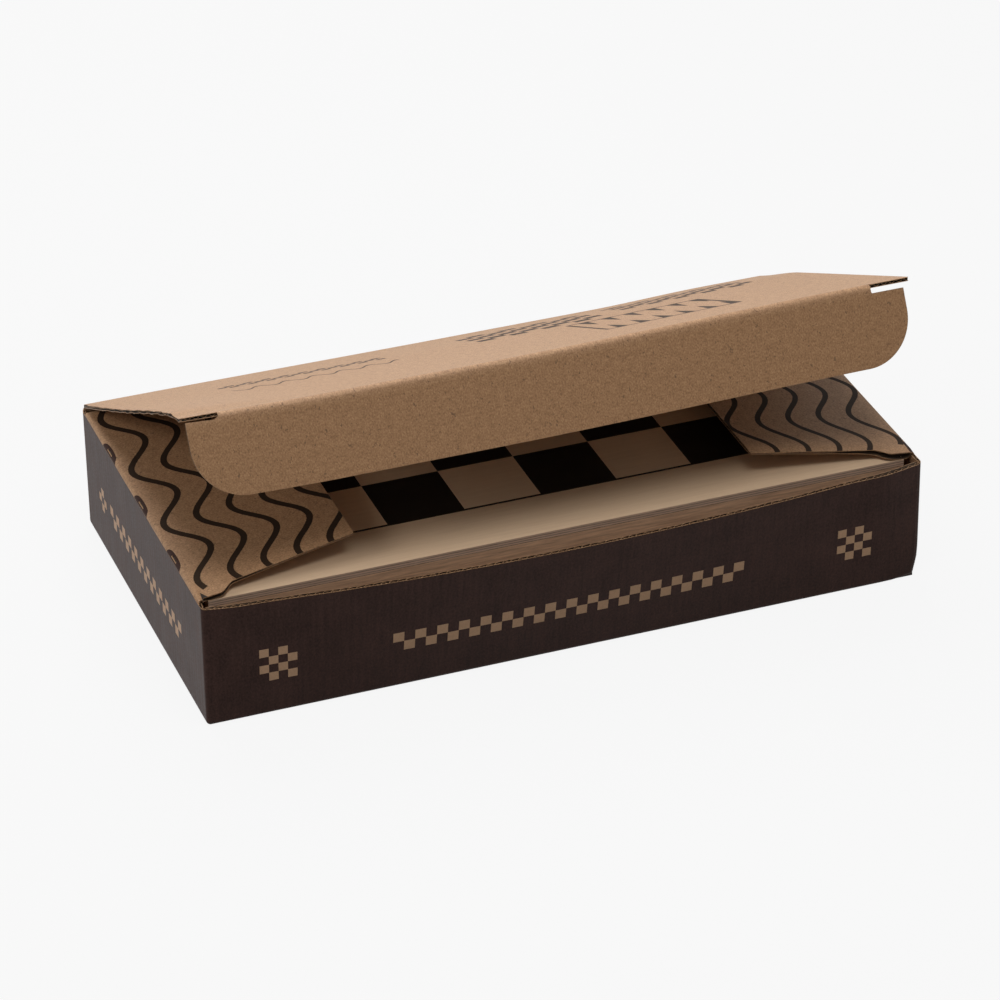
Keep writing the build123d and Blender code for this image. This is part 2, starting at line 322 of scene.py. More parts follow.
# Materials: each is a short tree of nodes worked in millimetres on the sheet
class NodeTree:
    def __init__(self, name, kind=bpy.data.materials, shader="BsdfPrincipled", end="Material"):
        self.owner = kind.new(name)
        self.owner.use_nodes = True
        self.tree = self.owner.node_tree
        self.tree.nodes.clear()
        self.shader = self.add(shader)
        self.end = self.add("Output" + end, {0: self.shader.outputs[0]})

    def feed(self, socket, value):
        if isinstance(value, bpy.types.NodeSocket):
            self.tree.links.new(value, socket)
        else:
            socket.default_value = value

    def add(self, kind, sockets={}):
        node = self.tree.nodes.new("ShaderNode" + kind)
        for key, value in sockets.items():
            self.feed(node.inputs[key], value)
        return node

    def math(self, kind, *values):
        node = self.add("Math", dict(enumerate(values)))
        node.operation = kind
        return node.outputs[0]

    def plus(self, a, b):
        return self.math("ADD", a, b)

    def minus(self, a, b):
        return self.math("SUBTRACT", a, b)

    def times(self, a, b):
        return self.math("MULTIPLY", a, b)

    def over(self, a, b):
        return self.math("DIVIDE", a, b)

    def scaled(self, value, share, rest):
        return self.math("MULTIPLY_ADD", value, share, rest)

    def size(self, value):
        return self.math("ABSOLUTE", value)

    def less(self, a, b):
        return self.math("LESS_THAN", a, b)

    def more(self, a, b):
        return self.math("GREATER_THAN", a, b)

    def enlarge(self, vector, scale):
        node = self.add("VectorMath", {0: vector, 3: scale})
        node.operation = "SCALE"
        return node.outputs[0]

    # Places in millimetres: on the flat sheet, and in the piece's own frame
    def sheetPlace(self):
        uv = self.add("UVMap")
        uv.uv_map = "sheet"
        return self.enlarge(uv.outputs[0], uvUnit)

    def solidPlace(self):
        return self.enlarge(self.add("TexCoord").outputs["Object"], 1 / mm)

    def split(self, vector):
        return self.add("SeparateXYZ", {0: vector}).outputs

    def noise(self, vector, scale, detail, rough, stretch=None, shift=(0, 0, 0)):
        if stretch:
            node = self.add("Mapping", {0: vector, "Scale": stretch, "Location": shift})
            vector = node.outputs[0]
        sockets = {"Vector": vector, "Scale": scale, "Detail": detail, "Roughness": rough}
        return self.add("TexNoise", sockets).outputs["Fac"]

    def ramp(self, value, stops):
        node = self.add("ValToRGB", {0: value})
        for element, (position, color) in zip(node.color_ramp.elements, stops[:2]):
            element.position = position
            element.color = (*color, 1.0)
        for position, color in stops[2:]:
            node.color_ramp.elements.new(position).color = (*color, 1.0)
        return node.outputs[0]

    def between(self, value, low, high):
        sockets = {"Value": value, "From Min": low, "From Max": high}
        return self.add("MapRange", sockets).outputs["Result"]

    def mix(self, factor, a, b, kind="MIX"):
        node = self.add("Mix")
        node.data_type = "RGBA"
        node.blend_type = kind
        self.feed(node.inputs["Factor"], factor)
        for key, color in (("A", a), ("B", b)):
            self.feed(node.inputs[key], (*color, 1.0) if isinstance(color, tuple) else color)
        return node.outputs["Result"]

    def either(self, a, b):
        return self.math("MAXIMUM", a, b)

    def within(self, value, middle, half):
        # 1 where the value lies within half a width of the middle
        return self.less(self.size(self.minus(value, middle)), half)

    def patch(self, x, y, middle, size):
        column = self.within(x, middle[0], size[0] / 2)
        return self.times(column, self.within(y, middle[1], size[1] / 2))

    def chequers(self, x, y, patches):
        # Patches of squares: 1 on every second one. Each patch is given by its
        # middle, columns, rows and size of the squares.
        marks = 0.0
        for middle, columns, rows, step in patches:
            size = (columns * step, rows * step)
            column, row = (
                self.math("FLOOR", self.over(self.minus(place, centre - whole / 2), step))
                for place, centre, whole in zip((x, y), middle, size)
            )
            second = self.math("FLOORED_MODULO", self.plus(column, row), 2.0)
            second = self.times(self.patch(x, y, middle, size), self.more(second, 0.5))
            marks = self.either(marks, second)
        return marks

    def bump(self, height, strength, distance, under=None):
        sockets = {"Height": height, "Strength": strength, "Distance": distance * mm}
        if under:
            sockets["Normal"] = under
        return self.add("Bump", sockets).outputs[0]

    def sheen(self, weight, roughness):
        self.feed(self.shader.inputs["Sheen Weight"], weight)
        self.feed(self.shader.inputs["Sheen Roughness"], roughness)

    def finish(self, color, roughness, normal=None, specular=0.5):
        self.feed(self.shader.inputs["Specular IOR Level"], specular)
        self.feed(self.shader.inputs["Base Color"], color)
        self.feed(self.shader.inputs["Roughness"], roughness)
        if normal:
            self.feed(self.shader.inputs["Normal"], normal)
        return self.owner


def tint(color, share):
    return tuple(share * c for c in color)


# Every noise below is given by its scale, detail, roughness, stretch and shift
kraft = {
    "pale": (0.60, 0.365, 0.20),
    "middle": (0.42, 0.235, 0.118),
    "deep": (0.25, 0.13, 0.06),
    "fleck": (0.10, 0.052, 0.026),
    "tones": ((0.36, "deep"), (0.58, "middle"), (0.82, "pale")),  # of the grain
    "fibres": (1.6, 3.0, 0.7, (1.0, 0.7, 1.0)),
    "cloud": (0.34, 4.0, 0.65),
    "clouding": (0.42, -0.125),  # share of the cloud in the grain, and a shift
    "specks": (0.8, 2.0, 0.6, (1.0, 0.6, 1.0), (31.0, 7.0, 3.0)),
    "flecks": ((0.655, 0.71, 0.65, "fleck"), (0.33, 0.27, 0.45, "pale")),  # from, to, share
    "relief": (0.3, 0.12),  # strength and depth
    "roughness": 0.62,
    "specular": 0.5,
    "sheen": (0.1, 0.3),  # weight and roughness
}


def kraftColor(tree, place):
    # Fibres, faint mottling and a few dark and pale flecks
    fibres = tree.noise(place, *kraft["fibres"])
    cloud = tree.noise(place, *kraft["cloud"])
    share, shift = kraft["clouding"]
    grain = tree.scaled(cloud, share, tree.scaled(fibres, 1.0, shift))
    color = tree.ramp(grain, [(step, kraft[shade]) for step, shade in kraft["tones"]])
    specks = tree.noise(place, *kraft["specks"])
    for low, high, share, shade in kraft["flecks"]:
        fleck = tree.times(tree.between(specks, low, high), share)
        color = tree.mix(fleck, color, kraft[shade])
    return color, fibres


def makeKraft(name, printed=None, onSolid=False, shade=1.0):
    tree = NodeTree(name)
    place = tree.solidPlace() if onSolid else tree.sheetPlace()
    color, fibres = kraftColor(tree, place)
    if shade < 1.0:  # darker copies: painted shade on the flute faces, and a little darker cut edges and inner faces
        color = tree.mix(1.0, color, (shade, shade, shade), "MULTIPLY")
    shine = kraft["specular"]
    if printed:
        color, marks = printed(tree, place, color, fibres)
        if marks:  # the ink is duller than the board
            shine = tree.scaled(marks, ink["specular"] - shine, shine)
    tree.sheen(*kraft["sheen"])
    return tree.finish(color, kraft["roughness"], tree.bump(fibres, *kraft["relief"]), shine)


ink = {
    "color": (0.052, 0.0275, 0.0225),
    "print": (0.02, 0.0125, 0.009),  # line print on the bare board
    "bare": (0.62, 0.39, 0.24),  # kraft left free of ink
    "bareTones": (0.8, 1.2),
    "cover": 0.96,
    "cloud": (0.06, 4.0, 0.6),
    "fibres": (1.2, 3.0, 0.7, (1.0, 0.7, 1.0)),
    "streaks": (0.55, 3.0, 0.6, (1.0, 0.1, 1.0)),
    "shares": (0.3, 0.5, 0.24, 0.008),  # of cloud, fibres, streaks and flutes in the tone
    "toneShift": -0.02,
    "tones": ((0.36, 0.6), (0.66, 1.7)),  # place in the tone, and share of the colour
    "fluteRelief": (0.1, 0.06),
    "fibreRelief": (0.2, 0.1),
    "roughness": 0.05,  # the least
    "rubbed": (0.28, 0.55),  # shares of streaks and fibres on top of it
    "specular": 0.06,
    "sheen": (0.115, 0.35),
}


def makeInk(name, motifs):
    # Dark print over the whole outer liner, with the flutes showing faintly through
    tree = NodeTree(name)
    place = tree.sheetPlace()
    along, up, _ = tree.split(place)
    cloud = tree.noise(place, *ink["cloud"])
    fibres = tree.noise(place, *ink["fibres"])
    streaks = tree.noise(place, *ink["streaks"])
    flutes = tree.math("SINE", tree.times(along, 2 * math.pi / board["flutePitch"]))
    cloudShare, fibreShare, streakShare, fluteShare = ink["shares"]
    tone = tree.scaled(cloud, cloudShare, tree.times(fibres, fibreShare))
    tone = tree.scaled(streaks, streakShare, tree.plus(tone, ink["toneShift"]))
    tone = tree.scaled(flutes, fluteShare, tone)
    color = tree.ramp(tone, [(step, tint(ink["color"], share)) for step, share in ink["tones"]])
    bare = tree.mix(fibres, *(tint(ink["bare"], share) for share in ink["bareTones"]))
    color = tree.mix(tree.times(motifs(tree, along, up), ink["cover"]), color, bare)
    normal = tree.bump(fibres, *ink["fibreRelief"])
    normal = tree.bump(flutes, *ink["fluteRelief"], normal)
    tree.sheen(*ink["sheen"])
    # Rubbed and duller by turns, which shows where light glances off a wall
    streakShare, fibreShare = ink["rubbed"]
    rough = tree.scaled(streaks, streakShare, tree.scaled(fibres, fibreShare, ink["roughness"]))
    return tree.finish(color, rough, normal, ink["specular"])


kraftCut = makeKraft("kraftCut", shade=0.97)
# The flute faces between the liners carry painted shade of the hollows inside the board
kraftFlutePaintedShade = makeKraft("kraftFlutePaintedShade", shade=0.14)
kraftInside = makeKraft("kraftInside", shade=0.85)
base = {"insideX": 152.6, "insideY": 82.6, "underside": 0.3}


def shadeBase(tree, place, color, fibres):
    # The outer print shows on the outer edges of the base flaps and below them
    x, y, z = tree.split(place)
    marks = tree.more(tree.size(x), base["insideX"])
    marks = tree.either(marks, tree.more(tree.size(y), base["insideY"]))
    marks = tree.either(marks, tree.less(z, base["underside"]))
    return tree.mix(marks, color, ink["color"]), marks


kraftSolid = makeKraft("kraftOnSolid", shadeBase, onSolid=True)
print("board materials made")


# The four walls are one band of board that runs round the carton: right, front,
# left and rear, and then the glue flap inside the right wall
walls = {
    "cornerTurn": 1.0,  # radius at the middle of the board
    "bendMargin": 0.5,  # of fine columns beside a bend
    "startY": 84.6,  # the band starts here on the right
    "rearEnd": 151.7,  # and turns here into the glue flap
    "glueRadius": 0.8,
    "glueRun": 26.0,
    "glueFlap": (24.0, 4.0),  # width and taper
    "glueEnds": (8.0, 50.8),
    "glueGap": 1.3,
    "foot": 0.25,
    "footTurn": 1.8,  # height over which the foot turns under
    "bow": 10.8,
    "footBow": 0.05,
    "bowEnd": 153.2,
    "frontLow": 0.9,  # the raw edge ends this far below the solid's
    "fuller": ((138.0, 11.0, 1.5), (-141.0, 9.0, 0.8)),  # place, width, depth of a stretch
    "rearSag": (0.6, 0.6, (-150, 10), (74, 128)),  # left, more to the right, and where
    "sagFrom": 25,
    "crushedCorner": ((155.0, -85.0, 0.0), 7.0, (-1.5, 0.5, 0.9)),
    "cornerCrush": (0.75, 1.3),  # share and reach of the crush inside a corner
    # The raw edge, each with its reach down the wall and its unevenness: the inner
    # liner flares, the outer one frays, and the inner one leans in, right and left
    "flare": (5.0, (0.5, 0.35, 3.0, 27.0), 0.08),
    "fray": (1.6, 0.4, 0.3, (0.55, 0.45, 8.0, 6.0)),
    "loose": (3.5, ((1.5, (112, 150)), (0.7, (-96, -130))), (0.8, 0.2, 5.0, 8.0)),
    "lines": (0.25, 0.5, 0.8, 1.1, 1.4, 1.8, 2.4, 3.2, 53.0, 54.0),
    "mediumLines": (0.25, 0.8, 1.4, 1.8, 4.0, 8.0, 15.0, 30.0, 45.0, 51.0, 53.0),
}
motif = {
    "front": (
        ((-1.6, 23.4), 33, 2, 4.6), ((-125.0, 24.0), 4, 4, 3.9), ((124.6, 24.0), 4, 4, 3.9),
    ),
    "side": (((-3.0, 25.0), 23, 2, 4.4), ((59.0, 25.0), 3, 3, 3.6)),
}
middleX = carton["halfWidth"] - halfBoard
middleY = carton["halfDepth"] - halfBoard
turn = walls["cornerTurn"]
quarter = turn * math.pi / 2
glueTurn = walls["glueRadius"] * math.pi / 2
rightRun = middleY - turn + walls["startY"]
frontRun = 2 * (middleX - turn)
sideRun = 2 * (middleY - turn)
rearRun = middleX - turn + walls["rearEnd"]
bandPath = foldPath(
    (middleX, walls["startY"]), -90,
    (
        (rightRun, 0), (quarter, -90), (frontRun, 0), (quarter, -90), (sideRun, 0),
        (quarter, -90), (rearRun, 0), (glueTurn, -90), (walls["glueRun"], 0),
    ),
)
frontStart = rightRun + quarter
leftStart = frontStart + frontRun + quarter
rearStart = leftStart + sideRun + quarter
glueStart = rearStart + rearRun + glueTurn
frontZero = frontStart + middleX - turn  # along the band at x = 0 in front
leftZero = leftStart + middleY - turn  # and at y = 0 on the left


def bowAt(x, z):
    # How far the front wall stands out
    share = z / carton["frontTop"]
    bow = walls["footBow"] + (walls["bow"] - walls["footBow"]) * share
    bow *= max(0.0, 1 - (x / walls["bowEnd"]) ** 2)
    for centre, width, depth in walls["fuller"]:
        bow += depth * share * hump(x, centre, width)
    return bow


def rearSag(x):
    # The rear crease has sunk a little, except towards its right end
    left, more, rise, fall = walls["rearSag"]
    return (left + more * smoothStep(*rise, x)) * (1 - smoothStep(*fall, x))


def placeOnBand(u, v, w):
    x, y, angle = bandPath(u)
    nx, ny = -math.sin(angle), math.cos(angle)
    z = v
    inset = 0.0
    foot = walls["footTurn"]
    if v < foot:
        z = foot - math.sin(foot - v) * (1.0 + w)
        inset = (1.0 - math.cos(foot - v)) * (1.0 + w)
    x += nx * (w - inset)
    y += ny * (w - inset)
    if frontStart < u < frontStart + frontRun:
        y -= bowAt(x, z)
    if rearStart < u < glueStart - glueTurn:
        z -= rearSag(x) * smoothStep(walls["sagFrom"], carton["rearTop"], z)
    corner, reach, push = walls["crushedCorner"]
    away = (Vector((x, y, z)) - Vector(corner)).length
    return (Vector((x, y, z)) + Vector(push) * math.exp(-(away / reach) ** 2)) * mm


def bandOutline(layer):
    # All three layers end on one line here
    foot = walls["foot"]
    side, rear = carton["sideTop"], carton["rearTop"]
    front = carton["frontTop"] - walls["frontLow"]
    width, taper = walls["glueFlap"]
    low, high = walls["glueEnds"]
    tip = glueStart + width
    gap = glueStart - walls["glueGap"]
    return [[
        (0.0, foot), (glueStart, foot), (glueStart, low), (tip, low + taper),
        (tip, high - taper), (glueStart, high), (gap, high), (gap, rear),
        (rearStart, rear), (rearStart - quarter, side), (leftStart, side),
        (leftStart - quarter, front), (frontStart, front), (rightRun, side), (0.0, side),
    ]]


def bandCrush(u, v):
    inner, outer, fray, loose = 1.0, 1.0, 0.0, 0.0
    share, reach = walls["cornerCrush"]
    for corner in (rightRun + quarter / 2, leftStart - quarter / 2, rearStart - quarter / 2):
        inner -= share * hump(u, corner, reach)
    if frontStart < u < leftStart - quarter:
        top = carton["frontTop"]
        reach, wave, sink = walls["flare"]
        edge = smoothStep(top - reach, top, v)
        inner += edge * uneven(u, *wave)
        outer -= edge * sink
        start, end, depth, wave = walls["fray"]
        fray = smoothStep(top - start, top - end, v) * depth * uneven(u, *wave)
        reach, leans, wave = walls["loose"]
        loose = sum(depth * smoothStep(*ends, frontZero - u) for depth, ends in leans)
        loose *= smoothStep(top - reach, top, v) * uneven(u, *wave)
    return inner, outer, fray, loose


def wallMotifs(tree, along, up):
    # Plain bands and patches of squares left free of ink
    front = tree.chequers(tree.minus(frontZero, along), up, motif["front"])
    return tree.either(front, tree.chequers(tree.minus(along, leftZero), up, motif["side"]))


darkPrint = makeInk("darkPrint", wallMotifs)
margin = walls["bendMargin"]
wallBand = makeBoard(
    "cartonWalls", bandOutline, placeOnBand, walls["lines"], walls["mediumLines"],
    darkPrint, bandCrush,
    [
        (start - margin, start + length + margin)
        for start, length in (
            (rightRun, quarter), (leftStart - quarter, quarter), (rearStart - quarter, quarter),
            (glueStart - glueTurn, glueTurn),
        )
    ],
)
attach(wallBand, "carton")
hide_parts("front_wall", "left_wall", "right_wall", "rear_wall", "glue_flap")
print("walls made")


# Dust flaps: the sheet starts on the side wall below the crease
dust = {
    "length": 69.0,
    "shoulder": (9.5, -78.0),
    "droop": (1.1, (-68, -78), (0.3, 3)),  # the left shoulder is pressed down
    "droopEnd": (8, 18),
    "leftEnd": (2.4, 1.3, 2.2),  # its crease goes on to the front
    "crease": (1.4, 0.7, 0.12),  # reach, and the crush inwards and outwards
    "edgeCrush": (4.5, 0.7, 0.33),  # the front edge is pressed over this width
    "stepRun": 6.5,
    "stepCell": 0.82,
    "step": 4.2,
    "sag": {-1: (1.5, 14.0), 1: (2.6, 20.0)},  # inner liner come loose at the shoulder
    "sagRange": ((11, 1), (0.6, 1.7), (4, 12)),  # behind the front edge, from and to
    "sagged": (0.85, 0.15, 4.0, 11.0),
    "frontTaper": 6.3,
    "rear": 80.0,
    "rearTaper": 19.0,
    "tipRound": 1.4,
    "below": 1.0,  # sheet on the wall, under the crease
    "turnRadius": 0.8,
    "slits": (-46.8, -1.3, 44.2),
    "slitSize": (6.0, 0.3),
    "slitIn": 0.15,
    "halfMoon": (8.8, 1.9, -0.8, 2.4),  # dark print: half length, depth, start, power
    "lip": (3.1, -0.08, 0.09),  # half length, place and half width of the pale torn edge, which is also a painted highlight
}
waves = {
    "period": 45.5,
    # Each side: first line, spacing, rise, crest, width, and where the print stops
    # on a slant at the front corner
    "sides": {-1: (9.35, 14.0, 6.1, 0.75, 2.75, -75.2), 1: (7.3, 13.9, 5.8, 1.7, 2.4, -73.0)},
    "rough": 0.3,
    "edge": (0.25, 0.05),
    "cutSlant": -0.49,
    "cutReach": 10.6,
    "leftCorner": (-74.7, 1.75, 0.3, 0.42),  # a small triangle of print: tip and slopes
    "rightCorner": (-69.0, 1.3),
}


def printWaves(side):
    first, spacing, rise, crest, width, cut = waves["sides"][side]

    def printed(tree, place, color, fibres):
        # Dark waved lines that run along the crease
        along, across, _ = tree.split(place)
        pace = 2 * math.pi / waves["period"]
        turned = tree.times(tree.minus(along, crest), pace)
        swing = tree.times(tree.math("COSINE", turned), rise)
        slope = tree.times(tree.math("SINE", turned), rise * pace)
        local = tree.minus(tree.minus(across, swing), first)
        cell = tree.math("WRAP", local, spacing / 2, -spacing / 2)
        steep = tree.math("SQRT", tree.scaled(slope, slope, 1.0))
        rough = tree.scaled(fibres, waves["rough"], tree.over(tree.size(cell), steep))
        line = tree.between(rough, *(width / 2 + soft for soft in waves["edge"]))
        lines = tree.times(line, tree.more(local, -spacing / 2))
        kept = tree.more(tree.scaled(across, waves["cutSlant"], along), cut)
        lines = tree.times(lines, tree.either(kept, tree.more(across, waves["cutReach"])))
        color = tree.mix(tree.times(lines, ink["cover"]), color, ink["print"])
        if side > 0:  # the wall's print runs over the crease at the front corner
            start, wide = waves["rightCorner"]
            wallInk = tree.times(tree.less(across, wide), tree.less(along, start))
            return tree.mix(wallInk, color, ink["color"]), tree.either(lines, wallInk)
        tip, middle, slope, spread = waves["leftCorner"]
        beyond = tree.minus(tip, along)
        off = tree.minus(tree.scaled(beyond, -slope, across), middle)
        fits = tree.less(tree.size(off), tree.times(beyond, spread))
        color = tree.mix(fits, color, ink["print"])
        half, depth, low, power = dust["halfMoon"]
        lipHalf, lipPlace, lipWide = dust["lip"]
        wallInk, paleLipsAndHighlight = 0.0, 0.0
        for middle in dust["slits"]:  # here it does so in half-moons
            away = tree.size(tree.minus(along, middle))
            a = tree.math("POWER", tree.over(away, half), power)
            b = tree.either(tree.over(tree.minus(across, low), depth), 0.0)
            wallInk = tree.either(wallInk, tree.less(tree.plus(a, tree.times(b, b)), 1.0))
            # A pale strip beside each slit: torn paper, with a painted highlight of the lit edge
            lip = tree.times(tree.within(across, lipPlace, lipWide), tree.less(away, lipHalf))
            paleLipsAndHighlight = tree.either(paleLipsAndHighlight, lip)
        color = tree.mix(wallInk, color, ink["color"])
        return tree.mix(paleLipsAndHighlight, color, kraft["pale"]), tree.either(lines, wallInk)

    return printed


def makeDustFlap(name, side):
    # u runs along the crease to the back, v inwards
    turned = 90 - carton["dustTilt"]
    tangent, arc = bendSizes(turned, dust["turnRadius"])
    axisX, axisZ = carton["dustAxis"]
    run = dust["below"] - tangent
    start = (axisX, axisZ - dust["below"])
    section = foldPath(start, 90, ((run, 0), (arc, turned), (200, 0)))
    shift = run + arc / 2  # v is 0 at the middle of the turn

    def place(u, v, w):
        x, z, angle = section(v + shift)
        x += w * math.sin(angle)
        z -= w * math.cos(angle)
        if side < 0:
            z -= swell(u, v, *dust["droop"]) * (1 - smoothStep(*dust["droopEnd"], v))
        return Vector((side * x, u, z)) * mm

    shoulderV, frontY = dust["shoulder"]
    stepV = shoulderV + dust["stepRun"]
    tipY = frontY + dust["step"] + dust["frontTaper"]
    length, rear, low = dust["length"], dust["rear"], -shift

    def frontAt(v):
        # The front edge: shoulder, step and taper
        step = dust["step"] * smoothStep(shoulderV, stepV, v)
        return frontY + step + dust["frontTaper"] * max(0.0, v - stepV) / (length - stepV)

    def outline(layer):
        torn = board["setBack"][layer]
        first = frontY + torn
        loop = [(first, low)]
        if side < 0:
            longer, straight, end = dust["leftEnd"]
            loop = [(first - longer, low), (first - longer, straight), (first, end)]
        loop += [(frontAt(v) + torn, v) for v in evenly(shoulderV, stepV, dust["stepCell"])]
        r = dust["tipRound"]
        loop += arcPoints((tipY + r, length - torn - r), r, 180, 90, 6)
        loop += arcPoints((rear - dust["rearTaper"] - r, length - torn - r), r, 90, 20, 6)
        loop += [(rear, 0.0), (rear, low)]
        loops = [loop]
        if side < 0 and layer == "outer":  # the slits open the outer liner only
            half, wide = (size / 2 for size in dust["slitSize"])
            v = dust["slitIn"]
            for y in dust["slits"]:
                ring = arcPoints((y + half - wide, v), wide, -90, 90, 4)
                loops.append(ring + arcPoints((y - half + wide, v), wide, 90, 270, 4))
        return loops

    loose, wide = dust["sag"][side]
    (near, far), rise, (before, after) = dust["sagRange"]

    def crush(u, v):
        inner, outer = creaseCrush(v, *dust["crease"])
        hang = swell(u, v, loose, (frontY + near, frontY + far), rise)
        hang *= (1 - smoothStep(wide - before, wide + after, v)) * uneven(v, *dust["sagged"])
        width, inward, outward = dust["edgeCrush"]
        edge = 1 - smoothStep(0, width, u - frontAt(v))
        return inner * (1 - inward * edge), outer - outward * edge, 0.0, hang

    flap = makeBoard(
        name, outline, place, (low, *board["creaseLines"]),
        (low, -0.5, -0.25, 0.0, 0.25, 0.5, 1.3, 3.0),
        makeKraft(name + "Print", printWaves(side)), crush,
    )
    node = "left_dust_flap" if side < 0 else "right_dust_flap"
    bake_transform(flap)
    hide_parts(node)
    return flap


makeDustFlap("leftDustFlap", -1)
makeDustFlap("rightDustFlap", 1)
print("dust flaps made")


# Lid: the sheet starts on the rear wall below the crease and ends short of the
# front fold, which belongs to the tuck flap
lid = {
    "halfWidth": 154.4,
    "lip": 0.6,
    "cornerRound": 1.8,
    "slotFrom": 137.2,
    "leftSlotFrom": 139.8,  # the crushed end of the left slot
    "foldStart": 2.0,  # the fold's sheet takes over this far before the fold
    "below": 1.0,
    "turnRadius": 0.9,
    "crease": (1.5, 0.7, 0.12),
    "shift": 0.4,  # the opened lid has gone to the right, more so at its front
    "frontShift": 0.9,
    "rightShift": (0.9, (90, 154), (0, 50)),
    "rightLift": (2.0, (-30, 150), (0, 46)),  # its right side has sprung up
    "leftLift": (0.9, (-96, -154), (40, 160)),
    "leftCurl": (1.5, (-96, -154), (50, 132)),
    "curlEnd": (143, 161),
    "sagEnd": (4, 70),
    "leftEdge": (-146, -154),
    "innerPress": (0.1, 0.35, 1.0, 14.0),
    "outerPress": (0.2, 0.25, 6.0, 18.0),
    "leftRough": 0.35,
    "roughFrom": (30.0, 50.0),
    "roughEnd": (12.0, 2.0),  # from the tip, and from its round corner
    "layers": {"outer": (0.0, 5.0), "medium": (0.4, 2.0), "inner": (0.15, 8.0)},
}
lidPrint = {
    "chequers": (
        ((29.5, 47.5), 8, 6, 7.2), ((101.0, 36.0), 10, 6, 6.2), ((-74.0, 54.0), 18, 3, 4.0),
    ),
    "points": ((66.0, 102.0), (60.0, 52.0)),
    "pointCount": 12,
    "pointReach": 0.84,
    "rim": 1.6,
    "wave": ((-74.0, 80.0), 72.0, 12.0, 4.0, 2.4),  # middle, length, period, rise, stroke
    "worn": (-0.3, 1.08),
}
turned = 90 - carton["lidOpen"]
tangent, arc = bendSizes(turned, lid["turnRadius"])
axisY, axisZ = carton["lidAxis"]
below = lid["below"]
lidPath = foldPath((axisY, axisZ - below), 90, ((below - tangent, 0), (arc, turned), (400, 0)))
lidShift = below - tangent + arc / 2
lidGain = tangent - arc / 2
opened = math.radians(carton["lidOpen"])
lidNormal = Vector((0, math.sin(opened), math.cos(opened)))


def lidWarp(u, v):
    # How far the sheet of the lid has left its flat place
    lift = swell(u, v, *lid["rightLift"]) + swell(u, v, *lid["leftLift"])
    lift += swell(u, v, *lid["leftCurl"]) * (1 - smoothStep(*lid["curlEnd"], v))
    shift = lid["shift"] + lid["frontShift"] * v / carton["lidReach"]
    shift += swell(u, v, *lid["rightShift"])
    sag = rearSag(u) * (1 - smoothStep(*lid["sagEnd"], v))
    return Vector((shift, 0, -sag)) + lidNormal * lift


def placeOnLid(u, v, w):
    # v is measured from the crease's axis along the lid
    y, z, angle = lidPath(v + lidShift - lidGain if v > 0 else v + lidShift)
    y += w * math.sin(angle)
    z -= w * math.cos(angle)
    return (Vector((u, y, z)) + lidWarp(u, v)) * mm


def lidOutline(layer):
    half = lid["halfWidth"]
    reach = carton["lidReach"]
    front = reach - lid["foldStart"]
    torn, seed = lid["layers"][layer]
    tip = reach + lid["lip"] - torn
    low = -lidShift
    r = lid["cornerRound"]
    slot, leftSlot = lid["slotFrom"], -lid["leftSlotFrom"]
    rough, (start, full), (fade, gap) = lid["leftRough"], lid["roughFrom"], lid["roughEnd"]
    end = tip - r - gap
    outline = [(-half, low)]
    for v in evenly(start, end, 1.2):
        worn = smoothStep(start, full, v) * (1 - smoothStep(tip - fade, end, v))
        outline.append((-half + torn + worn * uneven(v, rough, rough, seed, 16.0), v))
    outline += arcPoints((-half + r, tip - r), r, 180, 90, 5)
    outline += [(leftSlot, tip), (leftSlot, front), (slot, front), (slot, tip)]
    outline += arcPoints((half - r, tip - r), r, 90, 0, 5)
    outline.append((half, low))
    return [outline]


def lidCrush(u, v):
    inner, outer = creaseCrush(v, *lid["crease"])
    edge = smoothStep(*lid["leftEdge"], u)
    inner -= edge * uneven(v, *lid["innerPress"])
    outer -= edge * uneven(v, *lid["outerPress"])
    return inner, outer, 0.0, 0.0


def printLid(tree, place, color, fibres):
    # Plain game boards and borders in dark ink
    x, v, _ = tree.split(place)
    marks = tree.chequers(x, v, lidPrint["chequers"])
    middle, size = lidPrint["points"]
    field = tree.patch(x, v, middle, size)
    inner = tree.patch(x, v, middle, tuple(s - 2 * lidPrint["rim"] for s in size))
    marks = tree.either(marks, tree.minus(field, inner))
    step = size[0] / lidPrint["pointCount"]
    across = tree.over(tree.minus(x, middle[0] - size[0] / 2), step)
    off = tree.size(tree.minus(tree.math("FRACT", across), 0.5))
    fromRim = tree.minus(size[1] / 2, tree.size(tree.minus(v, middle[1])))
    spike = tree.less(tree.scaled(fromRim, 1 / (lidPrint["pointReach"] * size[1]), off), 0.5)
    second = tree.more(tree.math("FLOORED_MODULO", across, 2.0), 1.0)
    marks = tree.either(marks, tree.times(field, tree.times(spike, second)))
    centre, length, period, rise, stroke = lidPrint["wave"]
    swing = tree.times(tree.math("SINE", tree.times(x, 2 * math.pi / period)), rise)
    line = tree.within(tree.minus(v, swing), centre[1], stroke / 2)
    marks = tree.either(marks, tree.times(line, tree.within(x, centre[0], length / 2)))
    worn = tree.scaled(fibres, *lidPrint["worn"])
    return tree.mix(tree.times(marks, worn), color, ink["print"]), marks


lidBoard = makeBoard(
    "lid", lidOutline, placeOnLid, (-lidShift, *board["creaseLines"]), None,
    makeKraft("lidPrint", printLid), lidCrush,
)
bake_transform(lidBoard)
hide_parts("lid_panel")
print("lid made")


